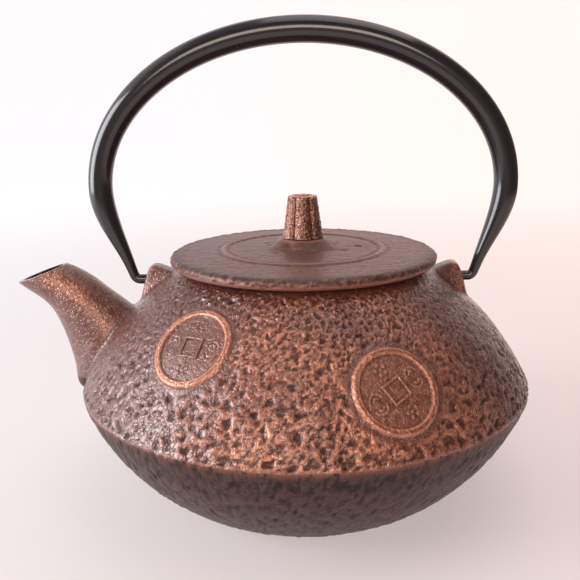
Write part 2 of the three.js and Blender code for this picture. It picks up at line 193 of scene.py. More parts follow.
def nearest_seeds(points, size, drift, drift_scale):
    """For each point, its distances from the nearest scattered seed and the next, and that seed's place."""
    for point in points / size:
        q = Vector(point)
        near, seeds = noise.voronoi(q + drift * noise.noise_vector(q * drift_scale))
        yield near[0], near[1], seeds[0]


def chips(points, size):
    """Heights of a skin of broken flakes and shallow hollows, about -1 to 1, each flake about that size."""
    heights = []
    for nearest, second, seed in nearest_seeds(points, size, 0.45, 0.8):
        level = noise.cell(seed * 5.3 + Vector((3.1, 7.7, 1.9)))
        edge = min((second - nearest) / 0.32, 1)
        rim = max(0, 1 - abs((second - nearest) - 0.14) / 0.14)
        heights.append(level * edge + 0.35 * rim - 0.15)
    return np.array(heights)


def hollows(points, size):
    """Depths of scattered round-bottomed pits, from -1 in the deepest to 0 between them."""
    heights = []
    for nearest, _, seed in nearest_seeds(points, size, 0.4, 1.1):
        depth = min(1, max(0, noise.cell(seed * 5.3) + 0.2))
        heights.append(-depth * (1 - min(1, nearest / 0.52) ** 4) ** 2)
    return np.array(heights)


def wrinkles(points, size):
    """Heights of fine worm-like ridges, 1 on top and 0 between them."""
    return np.array([max(0, 1 - abs(noise.noise(Vector(p)) * 5)) for p in points / size])


# --- Mesh helpers ---

def add_object(name, data):
    made = bpy.data.objects.new(name, data)
    bpy.context.scene.collection.objects.link(made)
    return made


def make_object(name, points, faces):
    """A mesh object from points in millimetres, with its faces pointing out."""
    mesh = bpy.data.meshes.new(name)
    mesh.from_pydata((np.asarray(points) * MM).tolist(), [], faces)
    mesh.update()
    check = bmesh.new()
    check.from_mesh(mesh)
    if check.calc_volume(signed=True) < 0:
        mesh.flip_normals()
    check.free()
    return add_object(name, mesh)


def ring_faces(count, sides, closed=False):
    """Faces between rings of points that follow one another, and from the last to the first if closed."""
    here = np.arange(sides)
    ahead = (here + 1) % sides
    faces = []
    for i in range(count if closed else count - 1):
        a, b = i * sides, (i + 1) % count * sides
        faces += np.stack([a + here, a + ahead, b + ahead, b + here], axis=1).tolist()
    return faces


def skin(name, rings, bottom=None, top=None, closed=False):
    """A closed skin over rings of points. Each end is a pole where one is given, or else a flat cap."""
    rings = np.asarray(rings, float)
    count, sides = rings.shape[:2]
    points = rings.reshape(-1, 3)
    faces = ring_faces(count, sides, closed)
    here = np.arange(sides)
    ahead = (here + 1) % sides
    last = (count - 1) * sides
    if not closed:
        for pole, start, order in ((bottom, 0, -1), (top, last, 1)):
            if pole is None:
                faces.append((start + here)[::order].tolist())
                continue
            points = np.vstack([points, [pole]])
            tip = len(points) - 1
            around = np.stack([start + here, start + ahead][::order] + [np.full(sides, tip)], axis=1)
            faces += around.tolist()
    return make_object(name, points, faces)


def revolve_rings(profile, steps):
    """Rings of points from an outline of (radius, height) points turned about Z."""
    profile = np.asarray(profile, float)
    angles = full_turn(steps)
    x = profile[:, :1] * np.cos(angles)
    y = profile[:, :1] * np.sin(angles)
    z = np.repeat(profile[:, 1:], steps, axis=1)
    return np.stack([x, y, z], axis=2)


def revolve_normals(profile, steps):
    """Outward normals for revolve_rings, from an outline that runs upwards on its outer side."""
    along = np.gradient(np.asarray(profile, float), axis=0)
    across = np.stack([along[:, 1], -along[:, 0]], axis=1)
    across /= np.linalg.norm(across, axis=1, keepdims=True)
    return revolve_rings(across, steps)


def turned(name, profile, steps):
    """A closed solid of revolution. Its outline starts and ends on the axis, or closes on itself."""
    if profile[0][0] == 0:
        poles = [(0, 0, profile[0][1]), (0, 0, profile[-1][1])]
        return skin(name, revolve_rings(profile[1:-1], steps), *poles)
    return skin(name, revolve_rings(profile, steps), closed=True)


def rod(name, radius, start, end, sides=32):
    """A cylinder between two points."""
    start, end = Vector(start), Vector(end)
    turn = (end - start).to_track_quat("Z", "Y").to_matrix()
    circle = [turn @ Vector((radius * cos(a), radius * sin(a), 0)) for a in full_turn(sides)]
    return skin(name, [[centre + point for point in circle] for centre in (start, end)])


def combine(target, tool, operation, material):
    """Joins a tool with that material to the target, or cuts it away, and removes the tool."""
    tool.data.materials.append(material)
    modifier = target.modifiers.new("combine", "BOOLEAN")
    modifier.operation = operation
    modifier.object = tool
    modifier.solver = "MANIFOLD"
    modifier.material_mode = "TRANSFER"
    graph = bpy.context.evaluated_depsgraph_get()
    mesh = bpy.data.meshes.new_from_object(target.evaluated_get(graph))
    target.modifiers.clear()
    target.data = mesh
    bpy.data.objects.remove(tool)


def points_of(mesh):
    points = np.empty(len(mesh.vertices) * 3)
    mesh.vertices.foreach_get("co", points)
    return points.reshape(-1, 3) / MM


def neighbour_mean(mesh):
    """A function that gives the mean of each vertex's neighbours for any values held at the vertices."""
    ends = np.empty(len(mesh.edges) * 2, int)
    mesh.edges.foreach_get("vertices", ends)
    first, second = ends.reshape(-1, 2).T
    count = len(mesh.vertices)
    weight = np.bincount(first, minlength=count) + np.bincount(second, minlength=count)

    def mean(values):
        columns = []
        for column in values.T:
            total = np.bincount(first, column[second], count) + np.bincount(second, column[first], count)
            columns.append(total / weight)
        return np.stack(columns, axis=1)

    return mean


def relax(piece, amount, rounds):
    """Evens out the skin where amount, one number for each vertex, is above 0."""
    mean = neighbour_mean(piece.data)
    points = points_of(piece.data)
    amount = amount[:, None]
    for _ in range(rounds):
        points += (mean(points) - points) * amount
    piece.data.vertices.foreach_set("co", (points * MM).ravel())
    piece.data.update()


def mark_relief(piece, rounds=10):
    """Stores how far each vertex stands proud of the skin around it, in millimetres, for the materials."""
    mesh = piece.data
    mean = neighbour_mean(mesh)
    points = points_of(mesh)
    level = points
    for _ in range(rounds):
        level = mean(level)
    normals = np.empty(len(mesh.vertices) * 3)
    mesh.vertices.foreach_get("normal", normals)
    relief = ((points - level) * normals.reshape(-1, 3)).sum(axis=1, keepdims=True)
    relief = np.clip(relief, -1, 1)
    broad = relief
    for _ in range(3 * rounds):
        broad = mean(broad)
    mark(piece, "relief", (relief - broad)[:, 0])


def change_relief(piece, scale, shift=0):
    """Scales and shifts the stored relief, by one number for each vertex."""
    relief = piece.data.attributes["relief"].data
    values = np.empty(len(relief))
    relief.foreach_get("value", values)
    relief.foreach_set("value", scale * values + shift)


def mark(piece, name, values):
    """Stores one number for each vertex."""
    piece.data.attributes.new(name, "FLOAT", "POINT").data.foreach_set("value", values)


def smooth_shading(piece, sharp_degrees=50):
    piece.data.shade_smooth()
    piece.data.set_sharp_from_angle(angle=radians(sharp_degrees))


# --- Camera and stage ---

def make_camera():
    data = bpy.data.cameras.new("camera")
    data.sensor_width = 36
    data.lens = 45.16
    data.clip_start = 0.01
    camera = add_object("camera", data)
    heading = Matrix.Rotation(radians(0.92), 4, "Z")
    pitch = Matrix.Rotation(radians(90 - 14.48), 4, "X")
    roll = Matrix.Rotation(radians(-0.894), 4, "Z")
    camera.matrix_world = Matrix.Translation((-0.00085, -0.2721, 0.14457)) @ heading @ pitch @ roll
    bpy.context.scene.camera = camera


def area_light(name, place, target, size, power, colour):
    data = bpy.data.lights.new(name, "AREA")
    data.shape = "RECTANGLE"
    data.size, data.size_y = size
    data.energy = power
    data.color = colour
    light = add_object(name, data)
    light.location = place
    light.rotation_euler = (Vector(target) - Vector(place)).to_track_quat("-Z", "Y").to_euler()
    light.visible_camera = False


def make_lights():
    area_light("window", (-0.84, -0.24, 0.31), (-0.1, 0, 0.2), (0.6, 0.62), 9, (0.92, 0.96, 1.0))
    area_light("room", (-0.05, -1.3, 0.56), (0, 0, 0.5), (0.9, 0.5), 8.4, (1.0, 0.82, 0.7))
    area_light("ceiling", (0.2, 0, 1.2), (0, 0, 0.07), (1.0, 0.8), 3.2, (1.0, 0.94, 0.91))
    world = bpy.data.worlds.new("room")
    world.use_nodes = True
    background = world.node_tree.nodes["Background"]
    background.inputs["Color"].default_value = (1.0, 0.94, 0.92, 1)
    background.inputs["Strength"].default_value = 0.3
    bpy.context.scene.world = world
    bpy.context.scene.view_settings.view_transform = "Standard"


def make_stage(material):
    """A round pale floor that sweeps up into a wall."""
    flat, bend, height = 900, 500, 2400
    sweep = [(r, 0) for r in np.linspace(40, flat, 12)]
    rising = np.linspace(0.1, pi / 2, 14)
    sweep += [(flat + bend * sin(a), bend * (1 - cos(a))) for a in rising]
    sweep += [(flat + bend, z) for z in np.linspace(bend, height, 10)[1:]]
    rings = revolve_rings(sweep, 96)
    count, sides = rings.shape[:2]
    faces = [list(range(sides)), *ring_faces(count, sides)]
    mesh = bpy.data.meshes.new("floor")
    mesh.from_pydata((rings.reshape(-1, 3) * MM).tolist(), [], faces)
    mesh.materials.append(material)
    mesh.shade_smooth()
    floor = add_object("floor", mesh)


# --- Materials ---

class Shader:
    """A material with short ways to add nodes. Its coordinates are the piece's own, in metres."""

    def __init__(self, name):
        self.material = bpy.data.materials.new(name)
        self.material.use_nodes = True
        self.tree = self.material.node_tree
        self.inputs = self.tree.nodes["Principled BSDF"].inputs
        self.place = self.tree.nodes.new("ShaderNodeTexCoord").outputs["Object"]
        split = self.tree.nodes.new("ShaderNodeSeparateXYZ")
        self.tree.links.new(self.place, split.inputs[0])
        self.side, self.depth, self.height = split.outputs

    def node(self, kind, **settings):
        made = self.tree.nodes.new(kind)
        for key, value in settings.items():
            setattr(made, key, value)
        return made

    def link(self, source, socket):
        self.tree.links.new(source, socket)

    def put(self, value, socket):
        """A number, a colour or another node's output into a socket."""
        if isinstance(value, bpy.types.NodeSocket):
            self.link(value, socket)
        elif isinstance(value, tuple):
            socket.default_value = (*value, 1) if len(socket.default_value) == 4 else value
        else:
            socket.default_value = value

    def math(self, operation, a, b=0.0, clamp=False):
        made = self.node("ShaderNodeMath", operation=operation, use_clamp=clamp)
        self.put(a, made.inputs[0])
        self.put(b, made.inputs[1])
        return made.outputs[0]

    def plus(self, a, b):
        return self.math("ADD", a, b)

    def times(self, a, b, clamp=False):
        return self.math("MULTIPLY", a, b, clamp)

    def sway(self, value, by, amount, middle=0.5):
        """A value moved up and down by how far another one is from its middle."""
        return self.plus(value, self.times(self.math("SUBTRACT", by, middle), amount))

    def ramp(self, value, low, high, start=0.0, end=1.0):
        made = self.node("ShaderNodeMapRange", interpolation_type="SMOOTHSTEP")
        for socket, number in zip(made.inputs, (value, low, high, start, end)):
            self.put(number, socket)
        return made.outputs[0]

    def mix(self, amount, a, b):
        made = self.node("ShaderNodeMix", data_type="RGBA")
        self.put(amount, made.inputs["Factor"])
        self.put(a, made.inputs["A"])
        self.put(b, made.inputs["B"])
        return next(out for out in made.outputs if out.enabled)

    def stretched(self, scale):
        made = self.node("ShaderNodeMapping")
        self.link(self.place, made.inputs["Vector"])
        self.put(scale, made.inputs["Scale"])
        return made.outputs[0]

    def texture(self, kind, size, place=None, **settings):
        """A texture of about that feature size in millimetres."""
        made = self.node(kind, **settings)
        self.link(place or self.place, made.inputs["Vector"])
        self.put(1 / (size * MM), made.inputs["Scale"])
        return made

    def noise(self, size, detail=2.0, place=None, roughness=0.5):
        made = self.texture("ShaderNodeTexNoise", size, place)
        self.put(detail, made.inputs["Detail"])
        self.put(roughness, made.inputs["Roughness"])
        return made.outputs["Fac"]

    def flakes(self, size):
        """Broken flakes of random height with sunk seams between them, about 0 to 1."""
        drift = self.texture("ShaderNodeTexNoise", size)
        offset = self.node("ShaderNodeVectorMath", operation="MULTIPLY_ADD")
        self.link(drift.outputs["Color"], offset.inputs[0])
        self.put((size * MM,) * 3, offset.inputs[1])
        self.link(self.place, offset.inputs[2])
        drifted = offset.outputs[0]
        cells = self.texture("ShaderNodeTexVoronoi", size, drifted)
        seams = self.texture("ShaderNodeTexVoronoi", size, drifted, feature="DISTANCE_TO_EDGE")
        level = self.node("ShaderNodeSeparateXYZ")
        self.link(cells.outputs["Color"], level.inputs[0])
        sunk = self.ramp(seams.outputs["Distance"], 0.0, 0.2, 0.25, 1.0)
        return self.times(sunk, level.outputs[0])

    def attribute(self, name):
        return self.node("ShaderNodeAttribute", attribute_name=name).outputs["Fac"]

    def bump(self, height, depth, strength=1.0):
        """Bump of that depth in millimetres."""
        made = self.node("ShaderNodeBump")
        self.put(strength, made.inputs["Strength"])
        self.put(depth * MM, made.inputs["Distance"])
        self.link(height, made.inputs["Height"])
        self.link(made.outputs[0], self.inputs["Normal"])

    def coat(self, weight, roughness, ior=1.5):
        """A clear coat that follows the bump, which has to be there already."""
        self.put(weight, self.inputs["Coat Weight"])
        self.put(roughness, self.inputs["Coat Roughness"])
        self.put(ior, self.inputs["Coat IOR"])
        self.link(self.inputs["Normal"].links[0].from_socket, self.inputs["Coat Normal"])

    def finish(self, colour, roughness, metallic):
        self.put(colour, self.inputs["Base Color"])
        self.put(roughness, self.inputs["Roughness"])
        self.put(metallic, self.inputs["Metallic"])
        return self.material


def iron_material():
    """Cast skin: dark in its hollows, red-brown on its face, and rubbed to copper where it stands proud. The
    copper, strongest round the front and the back, is partly painted warm light.
    """
    s = Shader("body_iron")
    above = s.ramp(s.height, (RIDGE[1] - 0.5) * MM, (RIDGE[1] + 0.4) * MM)
    grains = s.noise(0.5, 3, roughness=0.7)
    flakes = s.flakes(1.5)
    mottle = s.noise(6, 3)
    worn = s.sway(s.attribute("relief"), flakes, 0.16, 0.3)
    worn = s.sway(worn, grains, 0.42)
    base = s.mix(s.ramp(worn, -0.32, 0.04), (0.016, 0.004, 0.003), (0.125, 0.031, 0.02))
    base = s.mix(s.ramp(mottle, 0.35, 0.75, 0.0, 0.4), base, (0.07, 0.028, 0.023))
    below = s.mix(s.ramp(worn, -0.2, 0.14), (0.016, 0.007, 0.006), (0.075, 0.03, 0.025))
    base = s.mix(above, below, base)
    # Copper from the stored rubbing, which holds rubbed wear and painted warm light round the front and
    # back.
    rub_and_light = s.attribute("rubbed_and_lit")
    proud = s.ramp(worn, -0.12, 0.2)
    amount = s.times(s.plus(s.times(proud, 0.84), 0.16), rub_and_light, clamp=True)
    copper = s.mix(s.noise(1.6, 3), (0.46, 0.13, 0.06), (0.84, 0.35, 0.19))
    colour = s.mix(amount, base, copper)
    fine = s.plus(s.times(grains, 0.7), s.times(flakes, 1.8))
    s.bump(fine, 0.13, s.ramp(above, 0, 1, 0.6, 1.0))
    glaze = s.times(s.ramp(above, 0, 1, 0.12, 1), s.ramp(worn, -0.25, 0.05, 0.2, 1))
    s.coat(glaze, 0.14, 1.7)
    s.put(0.3, s.inputs["Specular IOR Level"])
    return s.finish(colour, s.ramp(grains, 0.25, 0.8, 0.34, 0.58), s.ramp(amount, 0, 1, 0.3, 0.7))


def knob_material():
    """Hammered copper with dark in the dents."""
    s = Shader("knob_copper")
    grains = s.noise(0.4, 2, roughness=0.6)
    flakes = s.flakes(1.0)
    worn = s.sway(s.attribute("relief"), grains, 0.2)
    worn = s.plus(worn, s.times(flakes, 0.06))
    colour = s.mix(s.ramp(worn, -0.22, 0.06), (0.03, 0.008, 0.006), (0.17, 0.055, 0.035))
    colour = s.mix(s.ramp(worn, 0.0, 0.18), colour, (0.78, 0.33, 0.19))
    s.bump(s.plus(grains, flakes), 0.12, 0.8)
    s.coat(1.0, 0.15)
    return s.finish(colour, s.ramp(grains, 0.2, 0.8, 0.28, 0.44), 0.7)


def lid_material():
    """As the body, with fine streaks along X."""
    s = Shader("lid_iron")
    streaks = s.noise(0.9, 3, place=s.stretched((0.3, 1, 1)), roughness=0.6)
    broad = s.noise(3.2, 2, place=s.stretched((0.3, 1, 1)))
    grains = s.noise(0.55, 3)
    worn = s.sway(s.attribute("relief"), streaks, 0.16)
    worn = s.sway(worn, grains, 0.3)
    base = s.mix(s.ramp(worn, -0.14, 0.12), (0.07, 0.026, 0.02), (0.24, 0.098, 0.075))
    base = s.mix(s.ramp(broad, 0.4, 0.7, 0, 0.4), base, (0.11, 0.052, 0.042))
    amount = s.times(s.ramp(worn, 0.04, 0.2), 0.4, clamp=True)
    colour = s.mix(amount, base, (0.42, 0.19, 0.125))
    s.bump(s.plus(streaks, s.times(grains, 1.2)), 0.1)
    s.coat(0.25, 0.3)
    return s.finish(colour, s.ramp(grains, 0.2, 0.8, 0.38, 0.58), s.ramp(amount, 0, 1, 0.35, 0.7))


def enamel_material():
    """The black glaze inside."""
    s = Shader("black_enamel")
    ripple = s.noise(6, 1)
    s.bump(ripple, 0.05)
    colour = s.mix(s.noise(2, 2), (0.012, 0.012, 0.013), (0.02, 0.02, 0.022))
    return s.finish(colour, s.ramp(ripple, 0, 1, 0.16, 0.26), 0.0)


def paint_material():
    """Semi-gloss black paint with a faint orange peel and a few scuffs."""
    s = Shader("black_paint")
    peel = s.noise(1.6, 2)
    specks = s.ramp(s.noise(0.7, 2, roughness=0.7), 0.69, 0.75)
    scuff = s.times(specks, s.ramp(s.noise(22, 2), 0.52, 0.66))
    colour = s.mix(s.noise(9, 2), (0.006, 0.004, 0.006), (0.013, 0.009, 0.012))
    colour = s.mix(scuff, colour, (0.3, 0.25, 0.22))
    s.bump(peel, 0.004)
    s.coat(1.0, 0.12, 1.55)
    s.put(0.2, s.inputs["Specular IOR Level"])
    return s.finish(colour, s.ramp(peel, 0.2, 0.8, 0.3, 0.4), 0.0)


def steel_material(name, colour, rough, lines):
    """Satin steel with fine turning lines round the axis."""
    s = Shader(name)
    brushed = s.noise(0.5, 2, place=s.stretched((0.06, 0.06, 1) if lines else (1, 1, 1)))
    tint = tuple(0.82 * c for c in colour)
    s.bump(brushed, 0.02)
    return s.finish(s.mix(brushed, tint, colour), s.ramp(brushed, 0.2, 0.8, rough - 0.06, rough + 0.1), 1.0)


def floor_material():
    """A pale board with painted light: a painted lamp tint, cooler on the left and warmer on the right;
    painted shade, dark at the front, out of view; and a painted glow that lightens the shadows.
    """
    s = Shader("pale_floor")
    # Painted lamp tint: cool on the left and warm on the right, in both the colour and the glow.
    side = s.ramp(s.side, -0.3, 0.42)
    paper = s.noise(3, 3)
    colour = s.mix(side, (0.41, 0.4, 0.415), (0.6, 0.47, 0.41))
    colour = s.mix(s.ramp(paper, 0.3, 0.7, 0, 0.05), colour, (0.4, 0.37, 0.37))
    s.bump(paper, 0.03)
    length = s.node("ShaderNodeVectorMath", operation="LENGTH")
    s.link(s.place, length.inputs[0])
    away = length.outputs["Value"]
    front = s.times(s.depth, -1)
    right_front = s.plus(s.side, s.times(front, 0.6))
    turned_away = s.math("DIVIDE", s.math("MAXIMUM", right_front, front), away)
    # Painted shade: dark towards the front and right-front, out of view, standing for the unlit room.
    painted_room_shade = s.times(s.ramp(turned_away, 0.05, 0.6), s.ramp(away, 0.33, 0.7, 0.0, 0.94))
    colour = s.mix(painted_room_shade, colour, (0.12, 0.11, 0.105))
    # Painted glow, tinted by the painted lamp tint: the floor and wall give off light everywhere except
    # where painted dark, which lightens the shadow round the pot.
    s.put(s.mix(side, (1.0, 0.96, 0.98), (1.0, 0.86, 0.86)), s.inputs["Emission Color"])
    painted_glow = s.times(s.ramp(away, 0.15, 1.0, 0.4, 0.66), s.math("SUBTRACT", 1.0, painted_room_shade))
    s.link(painted_glow, s.inputs["Emission Strength"])
    return s.finish(colour, 0.75, 0.0)


# --- Pot body ---

def shoulder_height(points):
    """Distance of each point outside the smooth shoulder, in millimetres."""
    centre, radius = circle_of(RIDGE, LIP_END, SHOULDER_BULGE)
    out = np.hypot(points[:, 0], points[:, 1]) - centre.x
    return np.hypot(out, points[:, 2] - centre.y) - radius


def coin_frame(coin):
    """Centre of a coin on the shoulder, and its directions round the body, up the slope and outwards."""
    centre, radius = circle_of(RIDGE, LIP_END, SHOULDER_BULGE)
    rise = (coin["z"] - centre.y) / radius
    run = sqrt(1 - rise * rise)
    azimuth = radians(coin["azimuth"])
    outward = Vector((sin(azimuth), -cos(azimuth), 0))
    across = Vector((cos(azimuth), sin(azimuth), 0))
    place = outward * (centre.x + radius * run) + Vector((0, 0, coin["z"]))
    normal = outward * run + Vector((0, 0, rise))
    return place, across, normal.cross(across), normal


def facing(points, azimuth, spread):
    """1 facing that azimuth or the one behind it, in degrees from -Y towards +X, and fading to 0."""
    turn = np.degrees(np.arctan2(points[:, 0], -points[:, 1])) - azimuth
    turn = np.abs((turn + 90) % 180 - 90)
    return np.exp(-(turn / spread) ** 4)


def coin_distance(points, coin):
    """Distance of each point from the centre of a coin."""
    return np.linalg.norm(points - np.array(coin_frame(coin)[0]), axis=1)


def skin_texture(points):
    """Height of the cast skin over the smooth body, in millimetres."""
    x, y, z = points.T
    reach = np.hypot(x, y)
    upper = smoothstep(RIDGE[1] - 0.2, RIDGE[1] + 0.7, z)
    calm = np.ones(len(points))
    for coin in COINS:
        calm *= smoothstep(COIN_RADIUS + 0.6, COIN_RADIUS + 3, coin_distance(points, coin))
    spout = np.hypot(y / 17, (z - 52) / 24)
    calm *= np.where(x < -40, smoothstep(0.95, 1.3, spout), 1)
    lugs = np.hypot(y / 12, (reach - 57) / 10)
    calm *= smoothstep(0.9, 1.4, np.where(np.abs(x) > 35, lugs, 2))
    calm *= 1 - smoothstep(LIP_Z - 3.2, LIP_Z - 1.2, z)
    busy = 0.5 + 0.6 * facing(points, -8, 48) + 0.25 * fine_noise(points, 30, 2)
    high_up = smoothstep(54, 74, z)
    rough = 0.42 * chips(points, 3.1) * (1 - 0.7 * high_up)
    rough += 0.6 * hollows(points, 4.6) * (1 - 0.8 * high_up)
    rough += 0.24 * chips(points + 50, 1.7) + 0.34 * wrinkles(points, 2.1) * (0.25 + 0.75 * high_up)
    rough += 0.12 * fine_noise(points, 0.9)
    flat = points * (1, 1, 1.5)
    plain = 0.26 * chips(flat, 2.2) + 0.18 * chips(flat + 30, 1.5) + 0.1 * fine_noise(points, 14, 2)
    return 1.2 * upper * calm * busy * rough + (1 - upper) * plain + 0.025 * fine_noise(points, 1.1)


def body_blank():
    """The outside of the bowl and shoulder as one filled solid with its cast skin."""
    lower = arc((BASE_RADIUS, 0), RIDGE, LOWER_BULGE, LOWER_STEPS)
    shoulder = arc(RIDGE, LIP_END, SHOULDER_BULGE, SHOULDER_STEPS)
    base = [(r, 0) for r in np.linspace(4, BASE_RADIUS, 14)[:-1]]
    lip = [(LIP_RADIUS - 0.25, LIP_Z - 0.12), (LIP_RADIUS - 0.8, LIP_Z), (MOUTH_RADIUS - 2, LIP_Z)]
    profile = base + [(min(r, RIDGE_BAND_RADIUS), z) for r, z in lower + shoulder[1:]] + lip
    rings = revolve_rings(profile, ROUND_STEPS)
    first, last = len(base) + 1, len(base) + len(lower) + len(shoulder) - 2
    points = rings[first:last].reshape(-1, 3)
    normals = revolve_normals(profile, ROUND_STEPS)[first:last].reshape(-1, 3)
    raised = points + normals * skin_texture(points)[:, None]
    rings[first:last] = raised.reshape(last - first, ROUND_STEPS, 3)
    return skin("pot_body_casting", rings, (0, 0, 0), (0, 0, LIP_Z))


def body_cavity():
    ridge = (RIDGE_RADIUS - WALL, RIDGE[1])
    lower = arc((BASE_RADIUS - 1.4, FLOOR_THICKNESS), ridge, LOWER_BULGE - 0.7, 24)
    shoulder = arc(ridge, (LIP_RADIUS - 0.5, LIP_Z - LIP_DEPTH - 0.5), SHOULDER_BULGE - 0.3, 24)
    mouth = [
        (MOUTH_RADIUS + 0.4, LIP_Z - LIP_DEPTH),
        (MOUTH_RADIUS, LIP_Z - LIP_DEPTH + 0.4),
        (MOUTH_RADIUS, LEDGE_Z),
        (LEDGE_RADIUS, LEDGE_Z),
        (LEDGE_RADIUS, LIP_Z + 1),
    ]
    profile = [(0, FLOOR_THICKNESS), *lower, *shoulder[1:], *mouth, (0, LIP_Z + 1)]
    return turned("cavity", profile, 144)


def spout_section(turn, t):
    """Shares of the half height and half width, at a turn from 0 on top to 1 underneath.

    Above it is an oval. Below, it narrows to a flat band, which fades out towards the mouth.
    """
    oval = oval_section(turn, t)
    if turn <= 0.5:
        return oval
    down = min(1, (turn - 0.5) / 0.4)
    across = min(1, (1 - turn) / 0.1)
    banded = np.array([-(down ** 0.9), (1 - (1 - SPOUT_BAND) * down ** 1.5) * across])
    return banded + (oval - banded) * t ** 3


def oval_section(turn, t):
    """The same shares for a plain oval, whatever t is."""
    return np.array([cos(pi * turn), sin(pi * turn)])


def spout_rings(section, inset, root_shift, mouth_shift, count, sides):
    """Sections that fan from the body to the mouth between the upper and the lower edge."""
    rings = []
    for i in range(count):
        t = i / (count - 1)
        top, bottom = curve_through(SPOUT_UPPER, t), curve_through(SPOUT_LOWER, t)
        along = (top - bottom).normalized()
        forward = Vector((-along.y, along.x))
        shift = -root_shift * (1 - min(1, t * 8)) + (mouth_shift if i == count - 1 else 0)
        middle = (top + bottom) / 2 + forward * shift
        half_height = (top - bottom).length / 2 - inset
        half_width = SPOUT_ROOT_HALF_WIDTH + (SPOUT_MOUTH_HALF_WIDTH - SPOUT_ROOT_HALF_WIDTH) * t - inset
        ring = []
        for j in range(sides):
            turn = 2 * j / sides
            up, out = section(min(turn, 2 - turn), t)
            side = half_width * out * (-1 if turn > 1 else 1)
            ring.append((middle.x + along.x * half_height * up, side, middle.y + along.y * half_height * up))
        rings.append(ring)
    return np.array(rings)


def spout_casting():
    """The outside of the spout, with a fine cast grain and a rounded lip."""
    count, sides = (100, 120) if FINE else (50, 60)
    rings = spout_rings(spout_section, 0, 0, 0, count, sides)
    middle = rings.mean(axis=1, keepdims=True)
    outward = rings - middle
    outward /= np.linalg.norm(outward, axis=2, keepdims=True)
    points = rings.reshape(-1, 3)
    grain = 0.07 * fine_noise(points, 0.9) + 0.05 * chips(points, 1.3) + 0.1 * fine_noise(points, 9, 2)
    calm = 1 - smoothstep(count - 4, count - 1, np.arange(count))[:, None]
    rings = rings + outward * (grain.reshape(count, sides) * calm)[..., None]
    lip = rings[-1] + (middle[-1] - rings[-1]) * 0.07 + (middle[-1] - middle[-2]) * 0.35
    return skin("spout", list(rings) + [lip])


def lug_block(side):
    """One ear for the bail: a block with rounded edges that rises out of the shoulder and thins upwards."""
    corner = [(59.4, 83), (59, 86.2), (56.8, 85.9)]
    outline = [(46.5, 66), (62.4, 70.4), (61.7, 74.5), (60.7, 79)]
    outline += [tuple(p) for p in bezier(corner, 6)] + [corner[-1], (53, 84.2), (50, 82.9), (46.5, 81.2)]
    outline = np.array(outline)
    dense = []
    for a, b in zip(outline, np.roll(outline, -1, axis=0)):
        steps = max(1, round(np.linalg.norm(b - a) / 0.8))
        dense += [a + (b - a) * k / steps for k in range(steps)]
    dense = np.array(dense)
    middle = np.array([52.5, 75])
    edge = 1.3
    levels = [(sin(a), 1 - cos(a)) for a in np.linspace(0, pi / 2, 7)]
    inward = [(1 - edge / LUG_FOOT_HALF_WIDTH * (1 - rise), edge * drop) for rise, drop in levels]
    flat = np.linspace(-1, 1, 12)[1:-1] * (1 - edge / LUG_FOOT_HALF_WIDTH)
    sections = [(-share, drop) for share, drop in reversed(inward)] + [(share, 0) for share in flat] + inward
    rings = []
    for share, drop in sections:
        away = dense - middle
        shrunk = middle + away * (1 - drop / np.linalg.norm(away, axis=1, keepdims=True))
        half_width = np.interp(shrunk[:, 1], [68, 86], [LUG_FOOT_HALF_WIDTH, LUG_TOP_HALF_WIDTH])
        rings.append(np.column_stack([side * shrunk[:, 0], share * half_width, shrunk[:, 1]]))
    return skin("lug", rings)


def dot(u, v, x, y, radius, height):
    """A round bead at (x, y)."""
    return height * (1 - smoothstep(radius * 0.55, radius, np.hypot(u - x, v - y)))


def bow(u, v, x, y, radius, width, height, up):
    """Half a ring round (x, y), open towards one side."""
    away = np.abs(np.hypot(u - x, v - y) - radius)
    side = smoothstep(-0.3, 0.3, (v - y) * up)
    return height * (1 - smoothstep(width * 0.4, width, away)) * side


def motif(u, v):
    """Ornament between the coin's ring and its square: blossoms and nested wave lines, not writing."""
    height = np.zeros_like(u)
    reach = 7.7
    for x, y in ((0, reach), (0, -reach)):
        height = np.maximum(height, dot(u, v, x, y, 0.75, 0.42))
        for petal in range(5):
            angle = radians(90 + 72 * petal)
            petal_x, petal_y = x + 1.75 * cos(angle), y + 1.75 * sin(angle)
            height = np.maximum(height, dot(u, v, petal_x, petal_y, 0.85, 0.5))
    for x in (-reach, reach):
        for y, up in ((1.1, 1), (-1.1, -1)):
            for radius in (0.9, 2.2):
                height = np.maximum(height, bow(u, v, x, y, radius, 0.62, 0.46, up))
    return height


def coin_height(u, v):
    """Height of a coin over the smooth shoulder, from its centre outwards."""
    reach = np.hypot(u, v)
    inner = COIN_RADIUS - COIN_RING_WIDTH
    ring = smoothstep(inner - 0.35, inner + 0.5, reach)
    ring *= 1 - smoothstep(COIN_RADIUS - 0.7, COIN_RADIUS + 0.25, reach)
    box = np.maximum(np.abs(u), np.abs(v))
    frame_line = smoothstep(COIN_SQUARE - COIN_RIM - 0.2, COIN_SQUARE - COIN_RIM + 0.25, box)
    frame_line *= 1 - smoothstep(COIN_SQUARE - 0.1, COIN_SQUARE + 0.35, box)
    hole = 1 - smoothstep(COIN_SQUARE - COIN_RIM - 0.4, COIN_SQUARE - COIN_RIM, box)
    field = -0.22 * (1 - smoothstep(inner - 0.5, inner, reach))
    skirt = -1.2 * smoothstep(COIN_RADIUS + 0.1, COIN_RADIUS + 1.1, reach)
    raised = np.maximum(0.85 * ring, 0.62 * frame_line)
    return raised + field * (1 - ring) + motif(u, v) * (1 - ring) - 0.25 * hole + skirt


